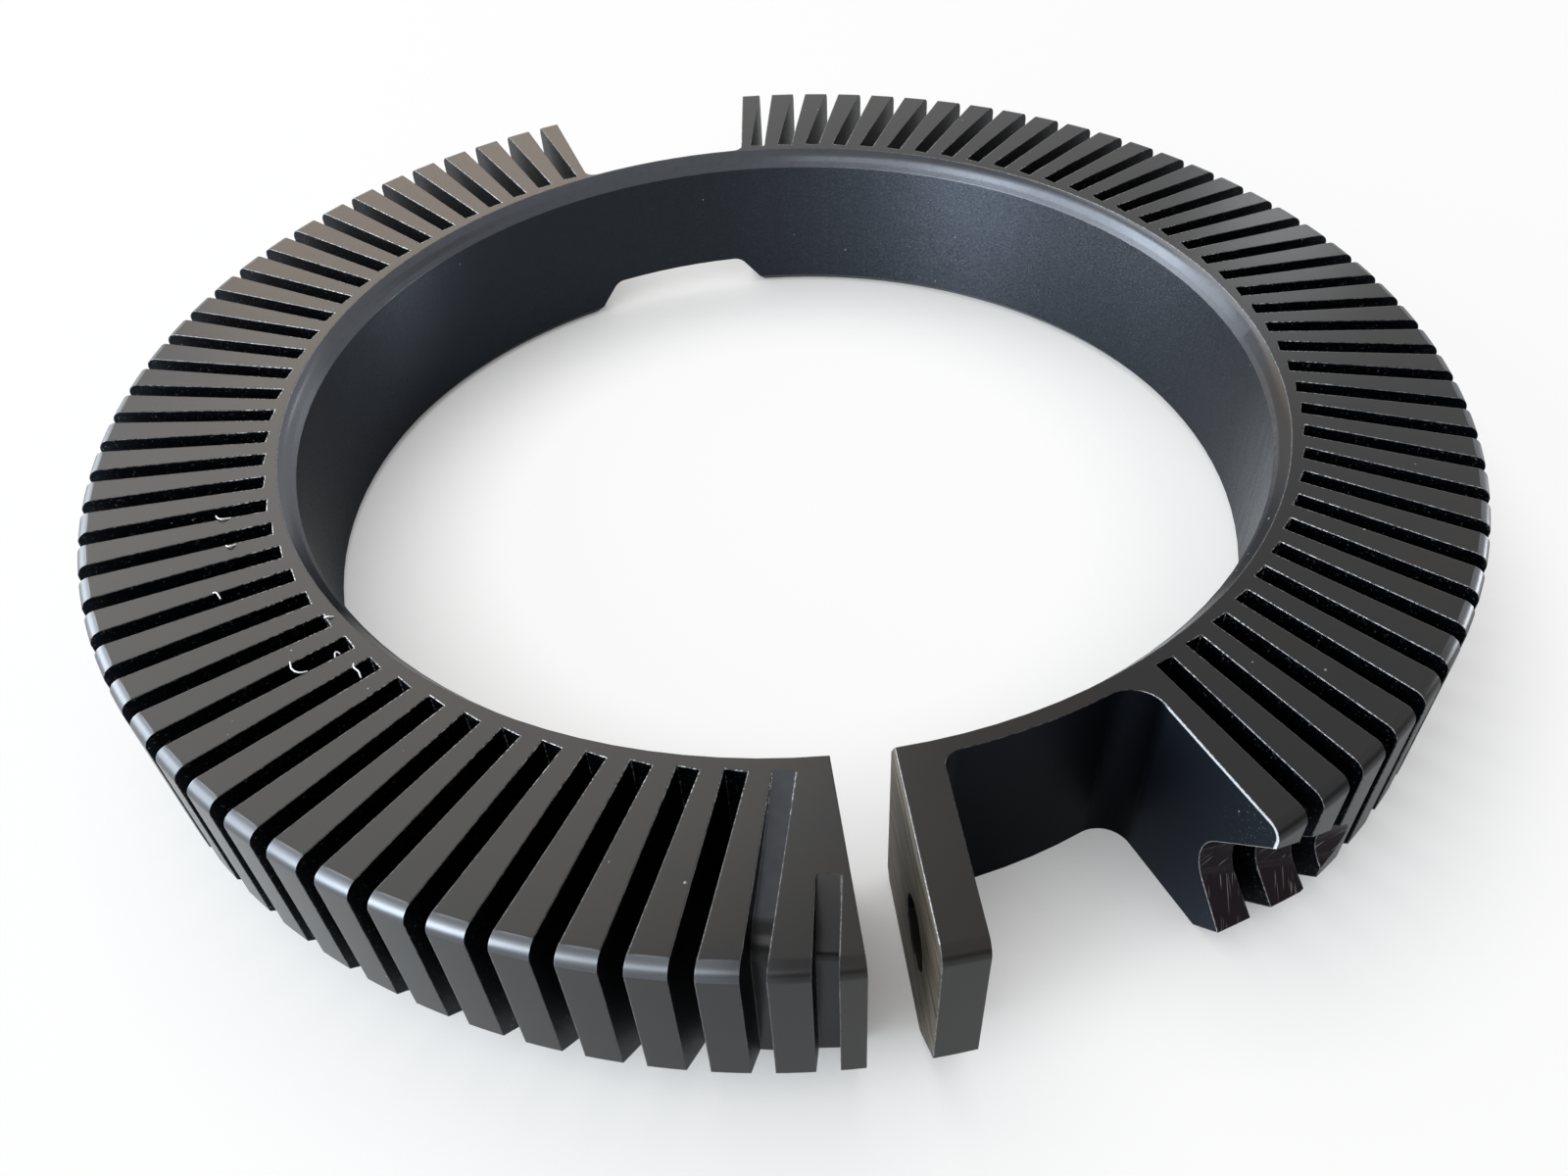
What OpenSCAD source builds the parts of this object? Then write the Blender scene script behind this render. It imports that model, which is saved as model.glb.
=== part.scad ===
// Clamp-on motor heat sink: one ring, turned and milled from a single aluminium blank.
// The bore axis is Z, the bottom face lies at z = 0 and the split faces -Y.

/* [Ring] */
// Diameter of the bore that grips the motor body
bore_d = 137.4; // [110:0.1:170]
// Wall of the hoop between the bore and the inner ends of the slots
hoop_wall = 3.3; // [2.6:0.1:6]
// Radial length of the fins outside the hoop
fin_len = 23.2; // [20:0.1:32]
// Height from the bottom face to the top face
ring_h = 26.2; // [23:0.1:40]
// Height of the lead-in chamfer at the top of the bore
lead_in_h = 2.8; // [1:0.1:5]
// Width of the lead-in chamfer in the top face
lead_in_w = 1.7; // [0.5:0.1:2.2]
// Chamfer at the bottom of the bore
bottom_chamfer = 1.3; // [0.4:0.1:2]
// Rounding of the outer edge at the top
outer_fillet = 1.7; // [0.5:0.1:3.5]
// Bevel of the outer edge at the bottom
outer_bevel = 6; // [2:0.1:8]

/* [Fins] */
// Equal divisions of the slot grid around the ring
fin_divisions = 90; // [80:1:96]
// Width of each slot
slot_w = 2.5; // [1.6:0.1:3]
// Lean of each slot away from the radius at its inner end, in degrees
slot_lean = 7.3; // [2:0.1:12]
// Slots in the run that starts beside the threaded lug
first_run = 37; // [30:1:40]
// Divisions that the two lugs and the tool pocket take up
clamp_divisions = 9; // [9:1:11]
// Divisions left bare in the gap at the back
gap_divisions = 6; // [4:1:10]

/* [Clamp] */
// Width of the saw cut through the ring
split_w = 6.9; // [4:0.1:8]
// Place of the saw cut on the grid, in divisions past the first slot
split_place = 2.665; // [2.6:0.005:2.8]
// Thickness of the plain lug beside the tool pocket
lug_t = 4.8; // [4:0.1:7]
// Wall left between the bore and the tool pocket
pocket_wall = 3.6; // [2.6:0.1:6]
// Corner rounding of the tool pocket at the plain lug
pocket_lug_fillet = 2.2; // [0.5:0.1:4]
// Corner rounding of the tool pocket at the fins
pocket_fin_fillet = 4; // [0.5:0.1:6]
// Clearance hole for the clamp screw in the plain lug
screw_hole_d = 8.4; // [6.6:0.1:9]
// Tapping hole for the clamp screw in the threaded lug
tapped_hole_d = 6.8; // [5:0.1:6.8]
// Distance of the screw axis outside the inner ends of the slots
screw_out = 12; // [10:0.1:14]
// Height of the screw axis above the bottom face
screw_h = 12; // [10:0.1:14]
// Angle between the flanks of the tool run that crosses the fins beside the pocket, in degrees
tool_run_angle = 100; // [80:1:120]
// Rounding at the bottom of the tool run
tool_run_round = 5.9; // [4:0.1:8]
// Distance of the tool run's bottom outside the inner ends of the slots
tool_run_out = 6.8; // [5:0.1:9]

/* [Grooves in the threaded lug] */
// Depth of the grooves measured inwards from the outer edge
groove_in = 4.6; // [3:0.1:5.5]
// Fall of the long groove's floor where it meets the groove's wall
long_groove_fall = 3.7; // [2:0.1:6]
// Rounding between the long groove's floor and its wall
long_groove_knee = 4.2; // [1:0.1:6]
// Fall of the short groove's 45 degree ramp
short_groove_fall = 5.7; // [4:0.1:8]
// Rounding between the short groove's ramp and its wall
short_groove_knee = 1.6; // [0.5:0.1:3]

/* [Gap at the back] */
// Wall left between the bore and the floor of the gap
gap_wall = 2; // [1.8:0.1:4]
// How far the gap is milled past the walls of its outermost slots
gap_ease = 0.8; // [0:0.1:1.2]
// Corner rounding where the gap's floor meets the fins
gap_fillet = 1.8; // [0.5:0.1:4]
// Width of the cable notch in the bottom face
notch_w = 33.4; // [24:0.1:36]
// Height of the cable notch above the bottom face
notch_h = 5.5; // [4:0.1:8]
// Slope of the notch's two sides, in degrees
notch_slope = 50; // [45:1:75]
// Rounding of the notch's roof corners
notch_fillet = 2.6; // [0.5:0.1:3]

/* [Hidden] */
$fn = 96;
// How far each cutter stands past the faces that it cuts
over = 1;
// Each rounding is larger than its place asks by this factor, so that it crosses the faces beside it
blend = 1.002;
// Direction in which the saw cut opens
split_angle = -90;
bore_r = bore_d / 2;
hoop_r = bore_r + hoop_wall;
outer_r = hoop_r + fin_len;
// Radius at which every cutter is clear of the ring
clear_r = 1.2 * outer_r;
pitch = 360 / fin_divisions;
second_run = fin_divisions - first_run - clamp_divisions - gap_divisions;
lug_face = split_w / 2 + lug_t;
screw_r = hoop_r + screw_out;
groove_r = outer_r - groove_in;
// Grid places of the slots that bound the bare gap
gap_first = clamp_divisions + second_run + 1;
gap_last = gap_first + gap_divisions - 1;

// Angle of slot i at its inner end: slot 0 is the first slot beside the threaded lug
function slot_angle(i) = split_angle + (i - split_place) * pitch;

// Direction in which slot i runs outwards
function slot_heading(i) = slot_angle(i) - slot_lean;

function unit(angle) = [cos(angle), sin(angle)];

function left_of(v) = [-v.y, v.x];

// Distance from point p along direction u to the circle of radius r about the bore axis
function run_to(p, u, r) = sqrt((p * u) ^ 2 - p * p + r ^ 2) - p * u;

// One side wall of slot i, moved back by ease, as a point, its outward direction and its normal
// towards the slot. The side is 1 for the wall anticlockwise of the slot and -1 for the other one.
function slot_wall(i, side, ease = 0) =
    let (heading = unit(slot_heading(i)), across = side * left_of(heading))
    [hoop_r * unit(slot_angle(i)) + (slot_w / 2 + ease) * across, heading, -across];

// The pocket's wall on the plain lug, in the same form
function lug_wall() = [[lug_face, 0], unit(split_angle), [1, 0]];

// The sharp corner beside a rounding: the area from its centre out to the points, less the round
module sharp_corner(centre, r, points) {
    difference() {
        polygon(concat([centre], points));
        translate(centre) circle(blend * r);
    }
}

// Half section of the plain ring, before it is revolved
module ring_section() {
    edge = [outer_r - outer_fillet, ring_h - outer_fillet];
    past = [outer_r + over, ring_h + over];
    difference() {
        translate([bore_r, 0]) square([outer_r - bore_r, ring_h]);
        polygon([
            [bore_r - lead_in_w, ring_h - 2 * lead_in_h],
            [bore_r + 2 * lead_in_w, ring_h + lead_in_h],
            [bore_r - lead_in_w, ring_h + lead_in_h]
        ]);
        translate([bore_r, 0]) rotate(45) square(sqrt(2) * bottom_chamfer, center = true);
        translate([outer_r, 0]) rotate(45) square(sqrt(2) * outer_bevel, center = true);
        sharp_corner(edge, outer_fillet, [[edge.x, past.y], past, [past.x, edge.y]]);
    }
}

// Places a child, drawn from a slot's inner end outwards along X, at slot i
module at_slot(i) {
    rotate(slot_angle(i)) translate([hoop_r, 0, 0]) rotate(-slot_lean) children();
}

// One slot through the full height, open at the outer edge
module slot() {
    translate([0, -slot_w / 2, -over]) cube([clear_r - hoop_r, slot_w, ring_h + 2 * over]);
}

// Side view of what a groove removes: a floor that starts at the top face and falls to a wall
// at the outer edge, with a rounded knee between the two
module groove_section(start, fall, knee) {
    wall = groove_r - hoop_r;
    open_end = clear_r - hoop_r;
    slope = atan2(fall, wall - start);
    normal = [sin(slope), cos(slope)];
    ridge = [wall, ring_h - fall];
    centre = [wall - knee, ridge.y + knee * tan(slope) - knee / cos(slope)];
    polygon([
        [start - over, ring_h + over * tan(slope)],
        ridge,
        [wall, -over],
        [open_end, -over],
        [open_end, ring_h + 2 * over],
        [start - over, ring_h + 2 * over]
    ]);
    sharp_corner(centre, knee, [
        centre + (knee + over) * normal,
        ridge + over * [1, (1 - normal.x) / normal.y],
        centre + [knee + over, 0]
    ]);
}

module groove(start, fall, knee) {
    rotate([90, 0, 0]) linear_extrude(slot_w, center = true) groove_section(start, fall, knee);
}

// The corner that stays solid where a wall meets the floor circle with a rounding
module floor_corner(wall, floor_r, fillet) {
    point = wall[0];
    heading = wall[1];
    normal = wall[2];
    shifted = point + fillet * normal;
    centre = shifted + run_to(shifted, heading, floor_r + fillet) * heading;
    foot = point + run_to(point, heading, floor_r - over) * heading;
    sharp_corner(centre, fillet, [
        (floor_r - over) / norm(centre) * centre,
        foot - over * normal,
        centre - (fillet + over) * normal
    ]);
}

// Plan of an open bay between two walls, outside a floor circle
module bay(wall_a, wall_b, floor_r, fillet_a, fillet_b) {
    inner_a = wall_a[0] + run_to(wall_a[0], wall_a[1], floor_r - over) * wall_a[1];
    outer_a = wall_a[0] + run_to(wall_a[0], wall_a[1], clear_r) * wall_a[1];
    inner_b = wall_b[0] + run_to(wall_b[0], wall_b[1], floor_r - over) * wall_b[1];
    outer_b = wall_b[0] + run_to(wall_b[0], wall_b[1], clear_r) * wall_b[1];
    crown = outer_a + outer_b;
    difference() {
        polygon([inner_a, outer_a, clear_r / norm(crown) * crown, outer_b, inner_b]);
        circle(floor_r);
        floor_corner(wall_a, floor_r, fillet_a);
        floor_corner(wall_b, floor_r, fillet_b);
    }
}

module through_cut() {
    translate([0, 0, -over]) linear_extrude(ring_h + 2 * over) children();
}

// Pocket that frees the plain lug and lets a tool reach the clamp screw
module tool_pocket() {
    far_wall = slot_wall(clamp_divisions, 1);
    through_cut() bay(lug_wall(), far_wall, bore_r + pocket_wall, pocket_lug_fillet, pocket_fin_fillet);
}

// Gap at the back, where the fins are left out
module fin_gap() {
    wall_a = slot_wall(gap_first, -1, gap_ease);
    wall_b = slot_wall(gap_last, 1, gap_ease);
    through_cut() bay(wall_a, wall_b, bore_r + gap_wall, gap_fillet, gap_fillet);
}

// Outline of the cable notch: a flat roof with rounded corners and two sloping sides
module notch_outline() {
    foot = notch_w / 2 + over / tan(notch_slope);
    corner = [notch_w / 2 - notch_h / tan(notch_slope), notch_h];
    reach = notch_fillet + over;
    centre = corner - notch_fillet * [tan(notch_slope / 2), 1];
    difference() {
        polygon([[foot, -over], corner, [-corner.x, corner.y], [-foot, -over]]);
        for (side = [0, 1]) mirror([side, 0]) {
            sharp_corner(centre, notch_fillet, [
                centre + [0, reach],
                corner + over * [tan(notch_slope / 2), 1],
                centre + reach * [sin(notch_slope), cos(notch_slope)]
            ]);
        }
    }
}

// Cable notch through the hoop, in the middle of the gap
module cable_notch() {
    rotate(slot_angle((gap_first + gap_last) / 2)) {
        rotate([90, 0, 90]) linear_extrude(clear_r) notch_outline();
    }
}

module saw_cut() {
    translate([-split_w / 2, -clear_r, -over]) cube([split_w, clear_r, ring_h + 2 * over]);
}

// Clearance hole in the plain lug, and tapping hole that runs out into the first slot
module screw_holes() {
    along_slot = unit(slot_heading(0));
    slot_end = hoop_r * unit(slot_angle(0));
    slot_x = slot_end.x - (screw_r + slot_end.y) / along_slot.y * along_slot.x;
    translate([0, -screw_r, screw_h]) {
        rotate([0, 90, 0]) cylinder(d = screw_hole_d, h = lug_face + over);
        rotate([0, -90, 0]) cylinder(d = tapped_hole_d, h = -slot_x);
    }
}

// Section of the tool run: two flanks that open outwards from a rounded bottom
module tool_run_section() {
    half = tool_run_angle / 2;
    centre = [hoop_r + tool_run_out + tool_run_round, screw_h];
    tip = centre - [tool_run_round / sin(half), 0];
    mouth = clear_r - tip.x;
    reach = tool_run_round + over;
    difference() {
        polygon([tip, tip + mouth * [1, tan(half)], tip + mouth * [1, -tan(half)]]);
        sharp_corner(centre, tool_run_round, [
            centre + reach * [-sin(half), cos(half)],
            tip - [over / sin(half), 0],
            centre - reach * [sin(half), cos(half)]
        ]);
    }
}

// Run for the screw's tool, cut across the fins beside the pocket
module tool_run() {
    translate([lug_face + over + clear_r, 0, 0]) {
        rotate([90, 0, split_angle]) linear_extrude(clear_r) tool_run_section();
    }
}

module finned_clamp_ring() {
    color([0.17, 0.17, 0.18]) difference() {
        rotate_extrude() ring_section();
        for (i = [0 : first_run - 1]) at_slot(-i) slot();
        for (i = [1 : second_run]) at_slot(clamp_divisions + i) slot();
        at_slot(1) groove(0, long_groove_fall, long_groove_knee);
        at_slot(2) groove(groove_r - hoop_r - short_groove_fall, short_groove_fall, short_groove_knee);
        tool_pocket();
        fin_gap();
        cable_notch();
        saw_cut();
        screw_holes();
        tool_run();
    }
}

finned_clamp_ring();
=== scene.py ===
"""Looks for a clamp-on motor heat sink: one black anodised ring with broken edges, burrs and dust."""

import logging
import math
from dataclasses import dataclass
from enum import Enum
from typing import Any, Sequence, Union

import bpy
from mathutils import Euler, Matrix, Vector


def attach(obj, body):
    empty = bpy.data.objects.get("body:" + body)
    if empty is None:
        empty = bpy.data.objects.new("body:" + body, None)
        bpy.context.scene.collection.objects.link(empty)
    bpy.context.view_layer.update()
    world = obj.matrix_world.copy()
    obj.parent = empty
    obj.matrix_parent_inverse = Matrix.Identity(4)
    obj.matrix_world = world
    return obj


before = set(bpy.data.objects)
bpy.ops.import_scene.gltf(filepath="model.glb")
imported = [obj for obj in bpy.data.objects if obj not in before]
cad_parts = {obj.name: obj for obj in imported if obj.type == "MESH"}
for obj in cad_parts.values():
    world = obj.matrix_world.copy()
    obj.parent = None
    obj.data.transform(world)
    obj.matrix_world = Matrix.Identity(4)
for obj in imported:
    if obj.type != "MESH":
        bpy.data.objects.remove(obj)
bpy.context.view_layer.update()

log = logging.getLogger("heat_sink")

MM = 0.001
IMAGE_SIZE = (1600, 1200)

Number = Union[int, float]
Point = tuple[float, float]
Colour = tuple[float, float, float]

WHITE: Colour = (1.0, 1.0, 1.0)
DAYLIGHT: Colour = (0.90, 0.96, 1.0)
UP = (0, 0, 1)


class Value:
    """A shader socket. Python's operators on it add Math nodes to its graph."""

    def __init__(self, graph: "Graph", socket: bpy.types.NodeSocket) -> None:
        """Wraps one output socket of a graph."""
        self.graph = graph
        self.socket = socket

    def out(self, name: str) -> "Value":
        """Gives another output of the same node."""
        return Value(self.graph, self.socket.node.outputs[name])

    def math(self, operation: str, *others: Union["Value", Number]) -> "Value":
        """Adds one Math node, with this value as its first operand."""
        return self.graph.math(operation, self, *others)

    def __add__(self, other: Union["Value", Number]) -> "Value":
        """Gives self + other."""
        return self.math("ADD", other)

    def __radd__(self, other: Number) -> "Value":
        """Gives other + self."""
        return self + other

    def __sub__(self, other: Union["Value", Number]) -> "Value":
        """Gives self - other."""
        return self.math("SUBTRACT", other)

    def __rsub__(self, other: Number) -> "Value":
        """Gives other - self."""
        return self.graph.math("SUBTRACT", other, self)

    def __mul__(self, other: Union["Value", Number]) -> "Value":
        """Gives self * other."""
        return self.math("MULTIPLY", other)

    def __rmul__(self, other: Number) -> "Value":
        """Gives other * self."""
        return self * other

    def __truediv__(self, other: Union["Value", Number]) -> "Value":
        """Gives self / other."""
        return self.math("DIVIDE", other)

    def __rtruediv__(self, other: Number) -> "Value":
        """Gives other / self."""
        return self.graph.math("DIVIDE", other, self)

    def __abs__(self) -> "Value":
        """Gives the size of self without its sign."""
        return self.math("ABSOLUTE")

    def most(self, *others: Union["Value", Number]) -> "Value":
        """Gives the largest of this value and others.

        Args:
            others: The values that it is compared with.

        Returns:
            The largest one.
        """
        largest = self
        for other in others:
            largest = largest.math("MAXIMUM", other)
        return largest

    def ramp(self, low: float, high: float) -> "Value":
        """Rises from 0 at low to 1 at high, smoothly, and stays there.

        Args:
            low: Where the result is 0.
            high: Where the result is 1. It may be below low.

        Returns:
            The ramp's value.
        """
        settings = {"interpolation_type": "SMOOTHSTEP"}
        inputs = {"Value": self, "From Min": low, "From Max": high}
        return self.graph.node("ShaderNodeMapRange", settings, inputs)

    def within(self, low: float, high: float, soft: float) -> "Value":
        """Is 1 between low and high and falls to 0 over soft on either side."""
        return self.ramp(low - soft, low) * self.ramp(high + soft, high)


Input = Union[Value, Number, Sequence[float]]


def rgba(colour: Colour) -> tuple[float, float, float, float]:
    """Gives an opaque colour as a colour socket takes it."""
    return (*colour, 1.0)


class Graph:
    """The node tree of one material or world."""

    # A Mix node's sockets for numbers and for colours share their names, so the colours go by index.
    mix_share, mix_first, mix_second, mix_result = 0, 6, 7, 2
    noise_roughness = 0.6

    def __init__(self, owner: Union[bpy.types.Material, bpy.types.World]) -> None:
        """Empties the owner's node tree.

        Args:
            owner: The material or world.
        """
        owner.use_nodes = True
        self.tree = owner.node_tree
        self.tree.nodes.clear()

    def node(
        self,
        kind: str,
        settings: dict[str, Any],
        inputs: dict[Union[int, str], Input],
        output: Union[int, str] = 0,
    ) -> Value:
        """Adds one node.

        Args:
            kind: The node's type.
            settings: Its own properties, which are set first.
            inputs: Values or links for its sockets, by name or by index.
            output: The output that is wanted.

        Returns:
            That output.
        """
        made = self.tree.nodes.new(kind)
        for name, setting in settings.items():
            setattr(made, name, setting)
        for key, given in inputs.items():
            if isinstance(given, Value):
                self.tree.links.new(given.socket, made.inputs[key])
            else:
                made.inputs[key].default_value = given
        return Value(self, made.outputs[output])

    def finish(self, kind: str, shader: Value) -> None:
        """Joins a shader to a new output node of the given type."""
        made = self.tree.nodes.new(kind)
        self.tree.links.new(shader.socket, made.inputs["Surface"])

    def math(self, operation: str, *operands: Union[Value, Number]) -> Value:
        """Adds one Math node."""
        return self.node("ShaderNodeMath", {"operation": operation}, dict(enumerate(operands)))

    def vector(self, operation: str, *operands: Input, output: Union[int, str] = 0) -> Value:
        """Adds one Vector Math node.

        Args:
            operation: The node's operation.
            operands: Its vectors, or a vector and a number for SCALE.
            output: The output that is wanted.

        Returns:
            That output.
        """
        keys = (0, "Scale") if operation == "SCALE" else (0, 1, 2)
        inputs = dict(zip(keys, operands))
        return self.node("ShaderNodeVectorMath", {"operation": operation}, inputs, output)

    def axes(self, vector: Value) -> tuple[Value, Value, Value]:
        """Parts a vector into its x, y and z."""
        along_x = self.node("ShaderNodeSeparateXYZ", {}, {0: vector})
        return along_x, along_x.out("Y"), along_x.out("Z")

    def place_mm(self) -> Value:
        """Gives the place of the shaded point on its piece, in millimetres."""
        return self.vector("SCALE", self.node("ShaderNodeTexCoord", {}, {}, "Object"), 1 / MM)

    def mix(self, share: Value, first: Union[Value, Colour], second: Union[Value, Colour]) -> Value:
        """Mixes two colours.

        Args:
            share: How much of the second colour there is, from 0 to 1.
            first: The colour where share is 0.
            second: The colour where share is 1.

        Returns:
            The mixed colour.
        """
        first, second = (side if isinstance(side, Value) else rgba(side) for side in (first, second))
        inputs = {self.mix_share: share, self.mix_first: first, self.mix_second: second}
        return self.node("ShaderNodeMix", {"data_type": "RGBA"}, inputs, self.mix_result)

    def noise(self, place: Value, scale: float = 1.0, detail: float = 2.0) -> Value:
        """Gives soft noise between 0 and 1.

        Args:
            place: Where the noise is read.
            scale: Its waves per unit of place.
            detail: How many finer layers it has.

        Returns:
            The noise.
        """
        inputs = {"Vector": place, "Scale": scale, "Detail": detail, "Roughness": self.noise_roughness}
        return self.node("ShaderNodeTexNoise", {}, inputs)

    def stretched(self, place: Value, factors: Sequence[float]) -> Value:
        """Multiplies a place by three factors, so that a pattern is drawn out."""
        return self.vector("MULTIPLY", place, tuple(factors))


@dataclass(frozen=True)
class RingSizes:
    """The sizes of the ring that its finish follows, in millimetres unless named otherwise."""

    bore_r: float = 68.7
    outer_r: float = 95.2
    height: float = 26.2
    lead_in_w: float = 1.7
    fillet_r: float = 1.7
    split_half: float = 3.45
    run_tip_y: float = -77.0
    run_half_deg: float = 50.0
    far_wall_way: Point = (0.9508, 0.3097)
    far_wall_out: float = 10.4
    screw_y: float = -84.0
    screw_z: float = 12.0
    tapped_r: float = 3.4
    thread_pitch: float = 1.25

    @property
    def lead_in_r(self) -> float:
        """The radius of the lead-in's upper edge."""
        return self.bore_r + self.lead_in_w

    @property
    def corner_r(self) -> float:
        """The radius at which the fins' round top corners begin."""
        return self.outer_r - self.fillet_r

    @property
    def corner_z(self) -> float:
        """The height at which the fins' round top corners begin."""
        return self.height - self.fillet_r


class RingSurface:
    """Where a shaded point is on the ring, and which of the ring's surfaces it belongs to.

    Each region is a mask from 0 to 1. Places are in millimetres. The split is at the front, where y is
    lowest, with the plain lug at its right and the threaded lug at its left.
    """

    def __init__(self, graph: Graph, sizes: RingSizes) -> None:
        """Adds the nodes that find the place and the regions.

        Args:
            graph: The material's graph.
            sizes: The ring's sizes.
        """
        self.graph = graph
        self.sizes = sizes
        self.place = graph.place_mm()
        self.x, self.y, self.z = graph.axes(self.place)
        self.normal = graph.node("ShaderNodeNewGeometry", {}, {}, "Normal")
        self.normal_x, normal_y, self.normal_z = graph.axes(self.normal)
        self.radius = self.across(self.x, self.y)
        self.outward = (self.x * self.normal_x + self.y * normal_y) / self.radius
        self.high = self.z.ramp(sizes.height - 3.4, sizes.height - 3.0)

        self.bore = self.find_bore()
        self.bore_end = self.find_bore_end()
        self.lead_in = self.find_lead_in()
        self.rolled = self.find_rolled()
        self.left_end = self.find_left_end()
        self.right_end = self.find_right_end()
        self.corner = self.find_corner()
        self.rim = self.find_rim()
        self.rubbed = self.find_rubbed()
        self.split = self.find_split()
        self.split_edge = self.find_split_edge()
        self.clamp = self.find_clamp()
        self.front_left = self.find_front_left()
        self.slot_end = self.find_slot_end()
        self.run = self.find_tool_run()
        self.far_wall = self.find_far_wall()
        self.lip = self.find_lip()
        self.thread = self.find_thread()
        self.recess = self.find_recess()

    @staticmethod
    def across(first: Value, second: Value) -> Value:
        """Gives the length of the vector that two numbers make."""
        return (first * first + second * second).math("SQRT")

    def find_bore(self) -> Value:
        """Finds the turned wall of the bore.

        Returns:
            The region's mask.
        """
        edge = self.sizes.bore_r
        facing_in = self.outward.ramp(-0.75, -0.95)
        return facing_in * self.radius.ramp(edge + 0.6, edge + 0.3)

    def find_bore_end(self) -> Value:
        """Finds the right end of the bore's wall, near the split."""
        return self.bore * self.x.ramp(55, 64) * self.y.ramp(-4, -26)

    def find_lead_in(self) -> Value:
        """Finds the sloping lead-in at the top of the bore.

        Returns:
            The region's mask.
        """
        edge = self.sizes.lead_in_r
        sloped = self.normal_z.ramp(0.02, 0.4) * self.normal_z.ramp(0.995, 0.8)
        return sloped * self.high * self.radius.ramp(edge + 0.6, edge)

    def find_rolled(self) -> Value:
        """Finds the upper half of the lead-in, which rolls over into the top face.

        Returns:
            The region's mask.
        """
        edge = self.sizes.lead_in_r
        upper = self.radius.ramp(edge - self.sizes.lead_in_w / 2, edge)
        behind = self.y.ramp(-30, -5)
        return self.lead_in * upper * behind

    def find_left_end(self) -> Value:
        """Finds the left part of the lead-in, on the side the light comes from, which is painted
        brighter: a painted highlight.
        """
        return self.lead_in * (self.x + self.y * 0.2).ramp(-62, -67)

    def find_right_end(self) -> Value:
        """Finds the side of the ring where the lead-in is still black."""
        return self.x.ramp(30, 50) * self.y.ramp(2, -16)

    def find_corner(self) -> Value:
        """Finds the fins' round top corners.

        Returns:
            The region's mask.
        """
        edge = self.sizes.corner_r
        curved = self.normal_z.ramp(0.02, 0.2) * self.normal_z.ramp(0.999, 0.98)
        return curved * self.high * self.radius.ramp(edge - 0.8, edge - 0.2)

    def find_rim(self) -> Value:
        """Finds the round corners that hands rub, which are those away from the clamp."""
        clamp_side = self.x.within(-10, 62, 10) * self.y.ramp(-50, -60)
        return self.corner * (1 - clamp_side)

    def find_rubbed(self) -> Value:
        """Finds the lead-in of the bore, where the black is thin, and the groove's floor, which gets
        the same lighter colour as a painted highlight.
        """
        # The groove's floor is made lighter: a painted highlight.
        return self.lead_in * (1 - self.right_end) + self.find_groove_floor() * 0.8

    def find_groove_floor(self) -> Value:
        """Finds the long sloping floor of the first groove in the threaded lug.

        Returns:
            The region's mask.
        """
        lug = self.x.within(-24, -4.2, 1) * self.y.ramp(-66, -70) * self.radius.ramp(93, 92)
        off_level, off_steep = self.normal_z.ramp(0.998, 0.99), self.normal_z.ramp(0.90, 0.96)
        return lug * off_level * off_steep

    def find_split(self) -> Value:
        """Finds the two sawn faces of the split.

        Returns:
            The region's mask.
        """
        edge = self.sizes.split_half
        near = abs(self.x).ramp(edge + 0.3, edge + 0.1) * self.y.ramp(0, -1)
        facing_sideways = abs(self.normal_x).ramp(0.8, 0.95)
        return near * facing_sideways

    def find_split_edge(self) -> Value:
        """Finds the plain lug's top edge at the split, which the saw left bright.

        Returns:
            The region's mask.
        """
        top = self.sizes.height
        near = abs(self.x - self.sizes.split_half).ramp(0.6, 0.3) * self.y.ramp(-64, -68)
        return near * self.z.ramp(top - 1.2, top - 0.8)

    def find_clamp(self) -> Value:
        """Finds the split, the plain lug and the tool pocket."""
        return self.y.ramp(-58, -62) * self.x.within(-6, 36, 3)

    def find_front_left(self) -> Value:
        """Finds the threaded lug and the fins beside it, whose edges get fainter painted highlights.
        """
        return self.y.ramp(-62, -72) * self.x.ramp(0, -4)

    def find_slot_end(self) -> Value:
        """Finds the inner ends of the slots, where the saw ran out."""
        inner = self.radius.ramp(80, 73) * self.radius.ramp(71.2, 71.6)
        return inner * (1 - self.clamp)

    def find_tool_run(self) -> Value:
        """Finds the two flanks that the tool's way cuts across the first fins.

        Returns:
            The region's mask.
        """
        half = math.radians(self.sizes.run_half_deg)
        aside = abs(self.z - self.sizes.screw_z) * math.cos(half)
        inside = (self.sizes.run_tip_y - self.y) * math.sin(half) - aside
        flank = inside.ramp(-0.2, -0.1) * abs(self.normal_x).ramp(0.25, 0.1)
        return flank * self.x.ramp(10, 12) * self.y.ramp(-74, -76)

    def find_far_wall(self) -> Value:
        """Finds the wall of the tool pocket on the first fin.

        Returns:
            The region's mask.
        """
        way_x, way_y = self.sizes.far_wall_way
        off = abs(self.x * way_x + self.y * way_y - self.sizes.far_wall_out)
        facing_left = self.normal_x.ramp(-0.5, -0.8)
        return off.ramp(1.2, 0.4) * facing_left * self.y.ramp(-68, -70)

    def find_lip(self) -> Value:
        """Finds the broken edge between the far wall and the fin's top.

        Returns:
            The region's mask.
        """
        outer = (self.radius - self.sizes.corner_r).most(0)
        upper = (self.z - self.sizes.corner_z).most(0)
        depth = self.sizes.fillet_r - self.across(outer, upper)
        return self.far_wall * depth.ramp(0.5, 0.22)

    def find_thread(self) -> Value:
        """Finds the wall of the tapped hole.

        Returns:
            The region's mask.
        """
        edge = self.sizes.tapped_r
        out = self.across(self.y - self.sizes.screw_y, self.z - self.sizes.screw_z)
        return out.ramp(edge + 0.2, edge + 0.1) * self.x.within(-18, -3, 1)

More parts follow.
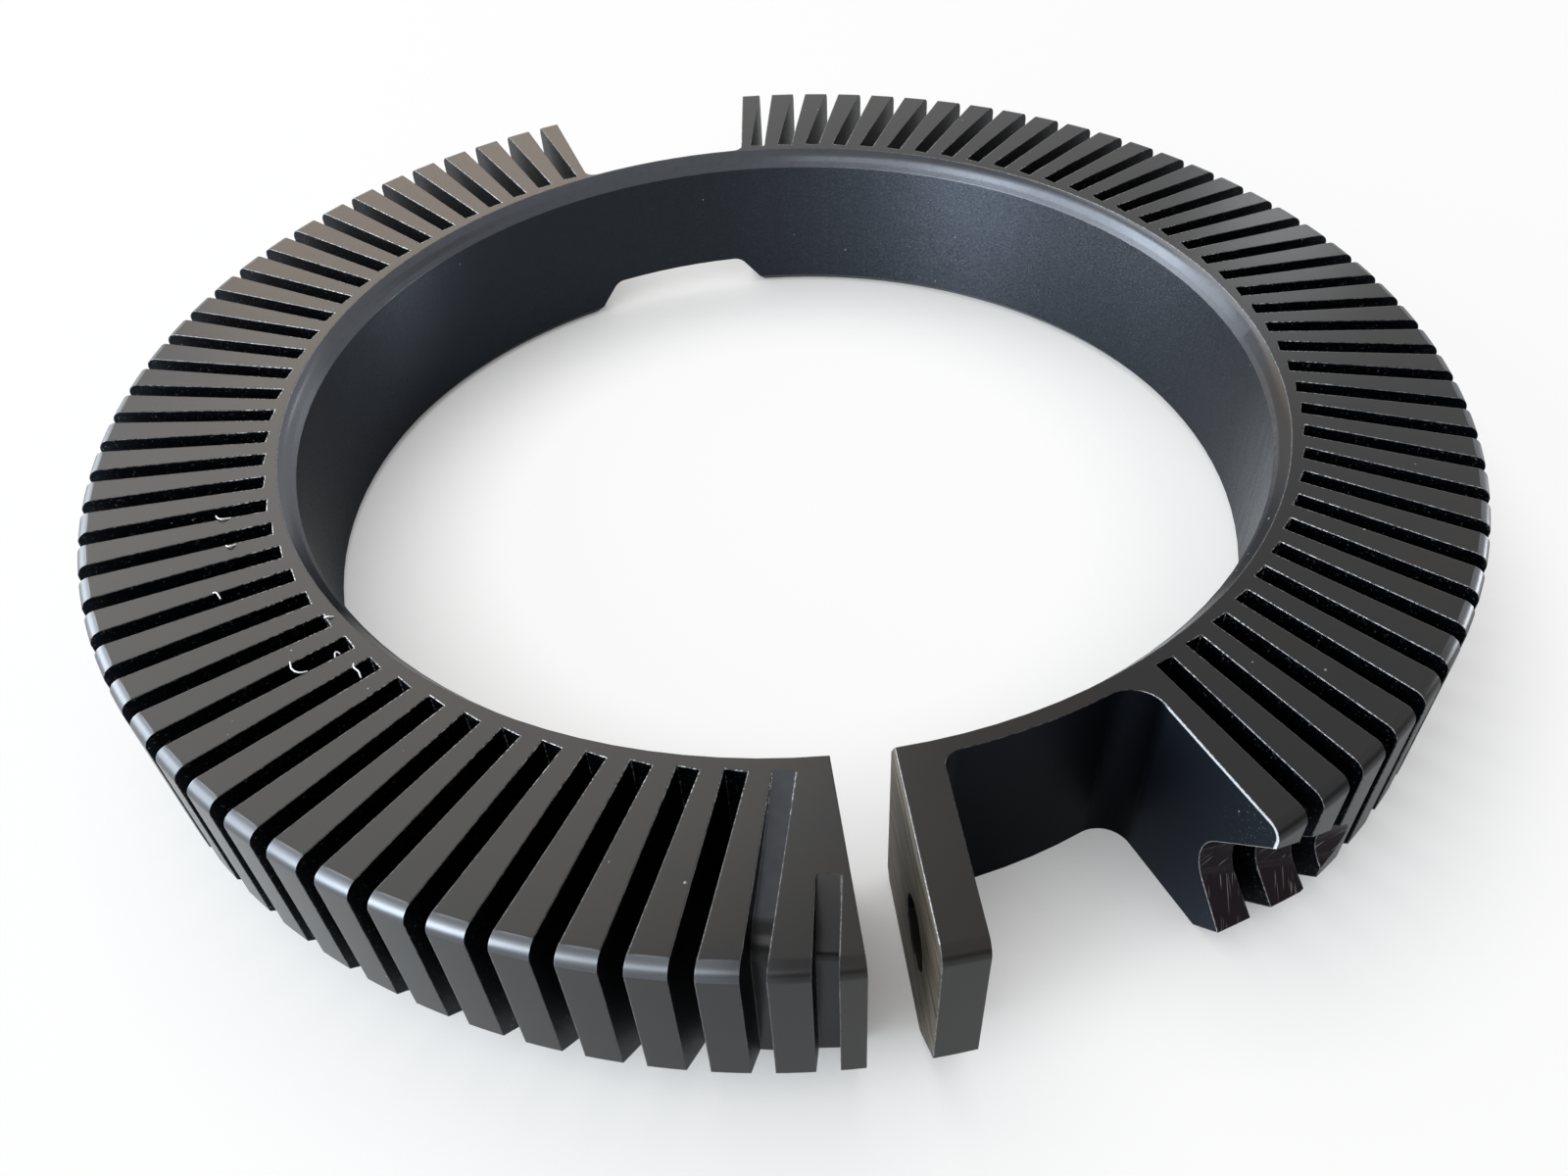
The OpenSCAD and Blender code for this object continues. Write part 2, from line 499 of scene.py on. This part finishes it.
    def find_recess(self) -> Value:
        """Finds the walls of the slots and of the tool pocket.

        Returns:
            The region's mask.
        """
        front = self.outward.ramp(0.5, 0.8) * self.radius.ramp(84, 86)
        upright = abs(self.normal_z).ramp(0.5, 0.3)
        return upright * (1 - front) * (1 - self.bore.most(self.split, self.run))

    def corner_normal(self) -> Value:
        """Gives the true normal of the fins' round top corners.

        Returns:
            The normal, which is right only where the corner mask is 1.
        """
        flat = self.graph.vector("NORMALIZE", self.graph.stretched(self.place, (1, 1, 0)))
        out = self.graph.vector("SCALE", flat, self.radius - self.sizes.corner_r)
        up = self.graph.vector("SCALE", UP, self.z - self.sizes.corner_z)
        return self.graph.vector("NORMALIZE", self.graph.vector("ADD", out, up))


class RingWearAndHighlights:
    """The marks that making and handling left on the ring, and the painted highlights on its edges and
    lead-in, each from 0 to 1.
    """

    bevel_samples = 6

    def __init__(self, graph: Graph, ring: RingSurface, edge_mm: float) -> None:
        """Adds the nodes that draw the marks.

        Args:
            graph: The material's graph.
            ring: The ring's regions.
            edge_mm: The radius of the broken edges.
        """
        self.graph = graph
        self.ring = ring
        bevel = {"samples": self.bevel_samples}
        self.rounded = graph.node("ShaderNodeBevel", bevel, {"Radius": edge_mm * MM})
        self.cloud = graph.noise(ring.place, 0.035, detail=3.0)
        self.patches = graph.noise(ring.place, 0.8, detail=3.0)
        self.flecks = graph.noise(ring.place, 2.4)
        self.grain = graph.noise(ring.place, 6.0)
        self.turning = graph.noise(graph.stretched(ring.place, (2.5, 2.5, 70.0)), detail=1.0)
        self.saw_lines = graph.noise(graph.stretched(ring.place, (0.2, 0.10, 2.2)), detail=4.0)
        self.run_lines = self.draw_run_lines()

        self.edge = self.find_edge()
        self.worn_and_lit_edges = self.find_worn_and_lit_edges()
        self.burr = self.find_burr()
        self.handled_and_highlit = self.find_handled_and_highlit()
        self.speck = self.scatter_specks().most(self.find_slot_dust())

    def draw_run_lines(self) -> Value:
        """Draws the tool's scratches in the run: down the lower flank, and aslant higher up.

        Returns:
            The scratches' noise.
        """
        ring = self.ring
        slant_cos, slant_sin = 0.77, 0.64
        low = ring.z.ramp(9.5, 8.5)
        across = (ring.z * slant_cos - ring.x * slant_sin) * (1 - low) + ring.x * low
        along = (ring.z * slant_sin + ring.x * slant_cos) * (1 - low) + ring.z * low
        place = self.graph.node("ShaderNodeCombineXYZ", {}, {"X": across * 4.0, "Y": along * 0.2})
        return self.graph.noise(place)

    def find_edge(self) -> Value:
        """Finds the broken edges, which are narrower where a round corner ends.

        Returns:
            The edges' mask.
        """
        corner = self.ring.corner
        flatness = self.graph.vector("DOT_PRODUCT", self.rounded, self.ring.normal, output="Value")
        return flatness.ramp(0.995, 0.88) * (1 - corner) + flatness.ramp(0.93, 0.80) * corner

    def find_worn_and_lit_edges(self) -> Value:
        """Finds the painted highlights, in dots, on the edges that face the light on the left, and
        patches elsewhere where the black is off the edges.

        Returns:
            The mask of the painted highlights and of the bare patches.
        """
        ring = self.ring
        # Edges that face the left, where the light comes from, get the dotted painted highlight.
        lit_side = self.graph.axes(self.rounded)[0].ramp(-0.1, -0.35)
        dotted = (self.flecks.ramp(0.40, 0.58) * 0.6 + 0.35) * (1 - ring.front_left * 0.6)
        patchy = (1 - lit_side) * self.patches.ramp(0.42, 0.72) * 0.3
        edges = self.edge * (lit_side * dotted + patchy)
        lip = ring.lip * (self.patches * 0.6 + 0.4)
        sawn_edge = self.edge * ring.split_edge * (self.patches * 0.5 + 0.5)
        return edges.most(lip, sawn_edge)

    def find_burr(self) -> Value:
        """Finds the bright burrs, most of them at the slots' inner ends and on the far wall.

        Returns:
            The burrs' mask.
        """
        flecked = self.flecks.ramp(0.46, 0.58)
        slots = self.edge * (self.ring.slot_end * 0.85 + 0.10) * flecked
        return slots.most(self.edge * self.ring.far_wall * 0.7)

    def find_handled_and_highlit(self) -> Value:
        """Finds what hands and the motor's body have rubbed most, and the left part of the lead-in,
        which is a painted highlight.

        Returns:
            The rubbed places' mask.
        """
        ring = self.ring
        streaks = self.graph.noise(self.graph.stretched(ring.place, (1.4, 1.4, 0.12)), detail=3.0)
        scuffed = ring.bore_end * streaks.ramp(0.2, 0.8)
        # The left part of the lead-in is made brighter: a painted highlight.
        return ring.rim + ring.left_end * 0.6 + scuffed * 1.1

    def find_slot_dust(self) -> Value:
        """Finds the dust in the slots, but not in the tool pocket."""
        dusty = self.graph.noise(self.ring.place, 3.0).ramp(0.62, 0.74)
        return self.ring.recess * (1 - self.ring.clamp) * dusty * 0.4

    def scatter_specks(self) -> Value:
        """Scatters small round specks of dust, thinly, all over the ring.

        Returns:
            The specks' mask.
        """
        cell = self.graph.node(
            "ShaderNodeTexVoronoi",
            {"feature": "F1"},
            {"Vector": self.ring.place, "Scale": 0.42, "Randomness": 1.0},
            "Distance",
        )
        chance = self.graph.node("ShaderNodeSeparateColor", {}, {0: cell.out("Color")})
        size = chance.out("Green") * 0.06 + 0.015
        return (size - cell).ramp(0.0, 0.02) * chance.ramp(0.72, 0.76)


@dataclass(frozen=True)
class AnodisedFinish:
    """Satin black anodised aluminium, with rubbed rims, burrs, tool marks and dust, and with painted
    shade in the slots and pocket, a painted sheen on the far wall and painted highlights on lit edges
    and on the lead-in.
    """

    name: str = "anodised_black"
    black: Colour = (0.011, 0.011, 0.012)
    brown: Colour = (0.018, 0.015, 0.012)
    # Darker than the black of the tops, for the walls of the slots and the pocket: painted shade.
    painted_shade: Colour = (0.0058, 0.0078, 0.0118)
    # Brighter and bluer than the other pocket walls, for the far wall that faces the light: a painted
    # sheen.
    painted_sheen: Colour = (0.036, 0.047, 0.068)
    bored: Colour = (0.039, 0.045, 0.055)
    # Thin black on the lead-in; on the groove's floor this colour is a painted highlight.
    thin: Colour = (0.071, 0.076, 0.086)
    # Rubbed rims and scuffs; on the left part of the lead-in this colour is a painted highlight.
    rubbed: Colour = (0.112, 0.119, 0.131)
    sawn: Colour = (0.175, 0.150, 0.110)
    cut: Colour = (0.024, 0.019, 0.022)
    scored: Colour = (0.26, 0.24, 0.24)
    # Bare metal on the edges, and the colour of the painted highlights on the edges that face the
    # light.
    edge: Colour = (0.30, 0.31, 0.33)
    burr: Colour = (0.74, 0.74, 0.74)
    dust: Colour = (0.46, 0.46, 0.44)
    ior: float = 1.35
    roughness: float = 0.24
    edge_mm: float = 0.24
    relief_mm: float = 0.01
    relief_strength: float = 0.35

    def build(self, sizes: RingSizes) -> bpy.types.Material:
        """Makes the material.

        Args:
            sizes: The ring's sizes, which place the tool marks.

        Returns:
            The new material.
        """
        material = bpy.data.materials.new(self.name)
        graph = Graph(material)
        ring = RingSurface(graph, sizes)
        wear_and_highlights = RingWearAndHighlights(graph, ring, self.edge_mm)
        bump = {
            "Strength": self.relief_strength,
            "Distance": self.relief_mm * MM,
            "Height": self.raise_relief(ring, wear_and_highlights),
            "Normal": self.turn_normal(graph, ring, wear_and_highlights),
        }
        surface = {
            "Base Color": self.paint(graph, ring, wear_and_highlights),
            "Metallic": self.find_metal(ring, wear_and_highlights),
            "Roughness": self.roughen(ring, wear_and_highlights),
            "IOR": self.ior,
            "Normal": graph.node("ShaderNodeBump", {}, bump),
        }
        graph.finish("ShaderNodeOutputMaterial", graph.node("ShaderNodeBsdfPrincipled", {}, surface))
        return material

    def paint(self, graph: Graph, ring: RingSurface, wear_and_highlights: RingWearAndHighlights) -> Value:
        """Lays the colours over each other, from the anodising up to the bare burrs.

        Args:
            graph: The material's graph.
            ring: The ring's regions.
            wear_and_highlights: The marks on it.

        Returns:
            The colour.
        """
        layers = (
            # The walls of the slots and the pocket are darker: painted shade.
            (ring.recess, self.painted_shade),
            # The far wall gets a brighter, bluer colour: a painted sheen.
            (ring.far_wall, self.painted_sheen),
            (ring.bore, self.bored),
            # Thin black on the lead-in, and a painted highlight on the groove's floor.
            (ring.rubbed * (wear_and_highlights.patches * 0.6 + 0.7), self.thin),
            # Rubbed rims and scuffs, and a painted highlight on the lead-in's left part.
            (wear_and_highlights.handled_and_highlit, self.rubbed),
            (ring.split * wear_and_highlights.saw_lines.ramp(0.36, 0.66), self.sawn),
            (ring.run, self.cut),
            (ring.run * wear_and_highlights.run_lines.ramp(0.60, 0.70), self.scored),
            (wear_and_highlights.speck * 0.8, self.dust),
            # Bare edges, and painted highlights on the edges that face the light.
            (wear_and_highlights.worn_and_lit_edges, self.edge),
            (wear_and_highlights.burr, self.burr),
        )
        colour = graph.mix(wear_and_highlights.cloud.ramp(0.35, 0.75), self.black, self.brown)
        for share, layer in layers:
            colour = graph.mix(share, colour, layer)
        return colour

    @staticmethod
    def find_metal(ring: RingSurface, wear_and_highlights: RingWearAndHighlights) -> Value:
        """Finds where the surface mirrors as metal does, which is not where dust lies."""
        metal = ring.recess.most(ring.bore, ring.rubbed, ring.run, ring.rim, wear_and_highlights.worn_and_lit_edges)
        return metal * (1 - wear_and_highlights.speck) * (1 - wear_and_highlights.burr * 0.5)

    def roughen(self, ring: RingSurface, wear_and_highlights: RingWearAndHighlights) -> Value:
        """Adds the regions' own roughness to that of the anodising.

        Args:
            ring: The ring's regions.
            wear_and_highlights: The marks on it.

        Returns:
            The roughness.
        """
        added = (
            (ring.recess, 0.22),
            (ring.bore, 0.12),
            (ring.rim, 0.11),
            (ring.split, 0.22),
            (ring.run, 0.15),
            (wear_and_highlights.speck, 0.3),
            (wear_and_highlights.burr, 0.2),
        )
        rough = self.roughness + (wear_and_highlights.grain - 0.5) * 0.06
        for region, more in added:
            rough = rough + region * more
        return rough

    @staticmethod
    def turn_normal(graph: Graph, ring: RingSurface, wear_and_highlights: RingWearAndHighlights) -> Value:
        """Rounds the edges and corners, and leans the normal up where a surface is turned or rolled.

        Args:
            graph: The material's graph.
            ring: The ring's regions.
            wear_and_highlights: The marks on it.

        Returns:
            The normal.
        """
        to_corner = graph.vector("SUBTRACT", ring.corner_normal(), wear_and_highlights.rounded)
        smooth = graph.vector("ADD", wear_and_highlights.rounded, graph.vector("SCALE", to_corner, ring.corner))
        lean = (wear_and_highlights.turning - 0.40) * ring.bore * 2.0 + ring.lip + ring.rolled * 0.6
        lean = lean + (ring.left_end + ring.lead_in * ring.right_end) * 0.3
        return graph.vector("NORMALIZE", graph.vector("ADD", smooth, graph.vector("SCALE", UP, lean)))

    def raise_relief(self, ring: RingSurface, wear_and_highlights: RingWearAndHighlights) -> Value:
        """Raises the grain, the saw's lines, the tool's scratches and the thread.

        Args:
            ring: The ring's regions.
            wear_and_highlights: The marks on it.

        Returns:
            The height, of which 1 is as much as relief_mm.
        """
        height = wear_and_highlights.grain * 0.4 + wear_and_highlights.saw_lines * ring.split * 6 + wear_and_highlights.run_lines * ring.run * 8
        return height + self.cut_thread(ring) * ring.thread * 40

    @staticmethod
    def cut_thread(ring: RingSurface) -> Value:
        """Gives the height of the screw thread along the tapped hole.

        Args:
            ring: The ring's regions.

        Returns:
            The height, from 0 to 1.
        """
        sizes = ring.sizes
        angle = (ring.z - sizes.screw_z).math("ARCTAN2", ring.y - sizes.screw_y)
        turns = ring.x / sizes.thread_pitch + angle / (2 * math.pi)
        return turns.math("PINGPONG", 0.5) * 2


@dataclass(frozen=True)
class FinnedRing:
    """The machined ring itself, whose shape is the CAD node's."""

    sizes: RingSizes
    finish: AnodisedFinish
    name: str = "finned_clamp_ring"

    def build(self) -> bpy.types.Object:
        """Finds the CAD node.

        Returns:
            The CAD node's object.
        """
        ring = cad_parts[self.name]
        log.info("%s: %d faces", self.name, len(ring.data.polygons))
        return ring

    def dress(self, ring: bpy.types.Object) -> None:
        """Puts the finish on the CAD node."""
        ring.material_slots[0].material = self.finish.build(self.sizes)


@dataclass(frozen=True)
class BareFinish:
    """Bare aluminium, as it shows on a fresh burr."""

    name: str = "bare_burr"
    bright: Colour = (0.86, 0.86, 0.87)
    dull: Colour = (0.60, 0.60, 0.62)
    metallic: float = 0.3
    roughness: float = 0.35

    def build(self) -> bpy.types.Material:
        """Makes the material.

        Returns:
            The new material.
        """
        material = bpy.data.materials.new(self.name)
        graph = Graph(material)
        patches = graph.noise(graph.place_mm(), 3.0)
        surface = {
            "Base Color": graph.mix(patches, self.dull, self.bright),
            "Metallic": self.metallic,
            "Roughness": patches * 0.3 + self.roughness,
        }
        graph.finish("ShaderNodeOutputMaterial", graph.node("ShaderNodeBsdfPrincipled", {}, surface))
        return material


@dataclass(frozen=True)
class BurrCurls:
    """The fine curls of metal that the saw left on the edges of the left slots.

    Each curl is a few points on the top face, in millimetres.
    """

    finish: BareFinish
    top: float
    name: str = "burr_curls"
    thickness: float = 0.2
    arch: float = 0.25
    roundness: int = 1
    steps: int = 6
    curls: tuple[tuple[Point, ...], ...] = (
        ((-75.5, -20.3), (-74.8, -21.2), (-73.5, -21.0)),
        ((-73.1, -26.3), (-72.6, -26.8), (-71.9, -26.3)),
        ((-73.0, -34.8), (-72.5, -35.1), (-71.9, -36.0)),
        ((-59.1, -41.2), (-58.6, -41.3), (-58.0, -41.2)),
        ((-57.0, -47.9), (-56.9, -47.3), (-56.5, -47.4)),
        ((-62.0, -47.8), (-61.8, -48.4), (-61.5, -49.2), (-60.6, -49.8), (-59.8, -49.6)),
        ((-54.8, -49.2), (-54.6, -50.0), (-54.0, -50.7), (-53.7, -51.5)),
    )

    def build(self) -> bpy.types.Object:
        """Makes the curls as one mesh on the ring's top face.

        Returns:
            The new piece.
        """
        bpy.ops.object.select_all(action="DESELECT")
        bpy.ops.curve.primitive_bezier_curve_add(location=(0, 0, 0))
        piece = bpy.context.active_object
        piece.name = self.name
        shape = piece.data
        shape.splines.clear()
        shape.bevel_depth = self.thickness / 2 * MM
        shape.bevel_resolution = self.roundness
        shape.resolution_u = self.steps
        shape.use_fill_caps = True
        for curl in self.curls:
            self.draw(shape, curl)
        bpy.ops.object.convert(target="MESH")
        bpy.ops.object.shade_smooth()
        log.info("%s: %d faces", self.name, len(piece.data.polygons))
        return piece

    def draw(self, shape: bpy.types.Curve, curl: Sequence[Point]) -> None:
        """Adds one curl, whose ends lie on the ring and whose middle stands a little off it.

        Args:
            shape: The curve that holds the curls.
            curl: The curl's points.
        """
        last = len(curl) - 1
        spline = shape.splines.new("BEZIER")
        spline.bezier_points.add(last)
        for index, (point, (x, y)) in enumerate(zip(spline.bezier_points, curl)):
            lift = self.arch * math.sin(math.pi * index / last)
            point.co = (x * MM, y * MM, (self.top + lift) * MM)
            point.handle_left_type = point.handle_right_type = "AUTO"

    def dress(self, piece: bpy.types.Object) -> None:
        """Gives the curls their finish and fixes them to the ring.

        Args:
            piece: The curls.
        """
        piece.data.materials.append(self.finish.build())
        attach(piece, "root")


class Ray(Enum):
    """The kinds of ray that show the camera a surface, straight or by reflection."""

    CAMERA = "Is Camera Ray"
    GLOSSY = "Is Glossy Ray"
    TRANSMISSION = "Is Transmission Ray"


def seen_directly(graph: Graph, mirrored: Union[Value, float]) -> Value:
    """Finds what the camera sees of a surface.

    Args:
        graph: The graph of the surface's material, or of the world.
        mirrored: The result where a reflection shows the surface.

    Returns:
        1 where the camera sees it straight or through something, and 0 for the light that it throws.
    """
    path = graph.node("ShaderNodeLightPath", {}, {}, Ray.CAMERA.value)
    camera, glossy, through = (path.out(ray.value) for ray in Ray)
    return camera.most(glossy * mirrored, through)


@dataclass(frozen=True)
class Room:
    """The room around the ring, which looks white and lights the ring at a plain level."""

    name: str = "studio"
    level: float = 0.05
    dim_bearing_deg: float = -50
    dimming: float = 0.75

    def build(self) -> None:
        """Makes the room the scene's world."""
        world = bpy.data.worlds.new(self.name)
        bpy.context.scene.world = world
        graph = Graph(world)
        seen = seen_directly(graph, self.mirror(graph))
        level = self.level + seen * (1 - self.level)
        sky = graph.node("ShaderNodeBackground", {}, {"Color": rgba(WHITE), "Strength": level})
        graph.finish("ShaderNodeOutputWorld", sky)

    def mirror(self, graph: Graph) -> Value:
        """Gives the room's level in reflections, which is lower near the ground on its dim side.

        Args:
            graph: The world's graph.

        Returns:
            The level, from 0 to 1.
        """
        way_x, way_y, way_z = graph.axes(graph.node("ShaderNodeTexCoord", {}, {}, "Generated"))
        bearing = math.radians(self.dim_bearing_deg)
        dim_side = way_x * math.cos(bearing) + way_y * math.sin(bearing)
        low = way_z.ramp(0.48, 0.36)
        return 1 - dim_side.ramp(0.2, 0.7) * low * self.dimming


@dataclass(frozen=True)
class FloorFinish:
    """A pale matt floor that looks white to the camera and keeps the ring's shadow."""

    name: str = "pale_floor"
    colour: Colour = (0.82, 0.82, 0.82)
    glow: float = 0.92
    mirrored_glow: float = 0.25
    shadow_reach: float = 0.025
    shadow_samples: int = 8

    def build(self) -> bpy.types.Material:
        """Makes the material.

        Returns:
            The new material.
        """
        material = bpy.data.materials.new(self.name)
        graph = Graph(material)
        matt = graph.node("ShaderNodeBsdfDiffuse", {}, {"Color": rgba(self.colour)})
        white = graph.node("ShaderNodeEmission", {}, {"Color": rgba(WHITE), "Strength": 1.0})
        samples, reach = {"samples": self.shadow_samples}, {"Distance": self.shadow_reach}
        # Near the ring the glow dims with ambient occlusion: a painted contact shadow.
        open_sky = graph.node("ShaderNodeAmbientOcclusion", samples, reach, "AO")
        share = seen_directly(graph, self.mirrored_glow) * open_sky * self.glow
        both = graph.node("ShaderNodeMixShader", {}, {0: share, 1: matt, 2: white})
        graph.finish("ShaderNodeOutputMaterial", both)
        return material


@dataclass(frozen=True)
class Floor:
    """The plain floor that the ring lies on. Its size is in metres."""

    finish: FloorFinish = FloorFinish()
    name: str = "floor"
    size: float = 6.0

    def build(self) -> bpy.types.Object:
        """Adds the floor.

        Returns:
            The floor's object.
        """
        bpy.ops.object.select_all(action="DESELECT")
        bpy.ops.mesh.primitive_plane_add(size=self.size, location=(0, 0, 0))
        floor = bpy.context.active_object
        floor.name = self.name
        return floor

    def dress(self, floor: bpy.types.Object) -> None:
        """Gives the floor its finish."""
        floor.data.materials.append(self.finish.build())


@dataclass(frozen=True)
class SoftBox:
    """One soft area light, a metre from the ring and facing it. Its size is in metres."""

    name: str
    bearing_deg: float
    height_deg: float
    size: tuple[float, float]
    radiance: float
    colour: Colour = WHITE

    def build(self) -> bpy.types.Object:
        """Adds the light.

        Returns:
            The light's object.
        """
        bearing, height = math.radians(self.bearing_deg), math.radians(self.height_deg)
        flat = math.cos(height)
        place = Vector((flat * math.cos(bearing), flat * math.sin(bearing), math.sin(height)))
        turn = (-place).to_track_quat("-Z", "Y").to_euler()
        bpy.ops.object.light_add(type="AREA", location=place, rotation=turn)
        lamp = bpy.context.active_object
        lamp.name = self.name
        lamp.data.shape = "RECTANGLE"
        lamp.data.size, lamp.data.size_y = self.size
        lamp.data.energy = math.pi * self.size[0] * self.size[1] * self.radiance
        lamp.data.color = self.colour
        log.info("%s: %.1f W", self.name, lamp.data.energy)
        return lamp


@dataclass(frozen=True)
class PhotoCamera:
    """The camera, where the photograph was taken from. Its place is in metres."""

    name: str = "photo_camera"
    place: tuple[float, float, float] = (-0.01330, -0.15061, 0.12996)
    turn_deg: tuple[float, float, float] = (44.508, 1.068, -7.913)
    lens_mm: float = 28.674
    sensor_mm: float = 36.0
    axis_px: Point = (840.4, 624.1)
    nearest: float = 0.01

    def build(self) -> bpy.types.Object:
        """Adds the camera and makes it the scene's own.

        Returns:
            The camera's object.
        """
        turn = Euler([math.radians(angle) for angle in self.turn_deg])
        bpy.ops.object.camera_add(location=self.place, rotation=turn)
        camera = bpy.context.active_object
        camera.name = self.name
        camera.data.sensor_width = self.sensor_mm
        camera.data.lens = self.lens_mm
        width, height = IMAGE_SIZE
        camera.data.shift_x = (width / 2 - self.axis_px[0]) / width
        camera.data.shift_y = (self.axis_px[1] - height / 2) / width
        camera.data.clip_start = self.nearest
        bpy.context.scene.camera = camera
        return camera


@dataclass(frozen=True)
class Studio:
    """The pale floor, the soft light and the camera."""

    room: Room = Room()
    floor: Floor = Floor()
    camera: PhotoCamera = PhotoCamera()
    boxes: tuple[SoftBox, ...] = (
        SoftBox("window_left", -170, 20, (1.5, 0.56), 4.4, (0.88, 0.95, 1.0)),
        SoftBox("window_near", -146, 20, (0.42, 0.52), 6.8, (0.86, 0.94, 1.0)),
        SoftBox("window_left_high", -166, 43, (1.0, 0.32), 1.6, DAYLIGHT),
        SoftBox("wall_low", 104, 25, (0.40, 0.20), 1.8, (1.0, 0.72, 0.48)),
        SoftBox("wall_high", 115, 47, (0.75, 0.62), 2.7, (1.0, 0.97, 0.92)),
        SoftBox("window_right", 8, 6, (0.26, 0.20), 14.0),
        SoftBox("ceiling_front", -115, 29, (0.40, 0.40), 2.9, (0.94, 0.97, 1.0)),
        SoftBox("window_corner", 57, 25.5, (0.10, 0.07), 6.0, DAYLIGHT),
        SoftBox("window_behind", 150, 19, (0.60, 0.56), 3.6, DAYLIGHT),
    )

    def build(self) -> None:
        """Sets up the room, the floor, the lights and the camera."""
        self.room.build()
        self.floor.dress(self.floor.build())
        for box in self.boxes:
            box.build()
        self.camera.build()
        bpy.context.scene.view_settings.view_transform = "Standard"


def main() -> None:
    """Builds the ring, its burr curls and the studio, in that order."""
    logging.basicConfig(level=logging.INFO, format="%(name)s: %(message)s")
    sizes = RingSizes()
    for piece in (FinnedRing(sizes, AnodisedFinish()), BurrCurls(BareFinish(), sizes.height)):
        piece.dress(piece.build())
    Studio().build()


if __name__ == "__main__":
    main()
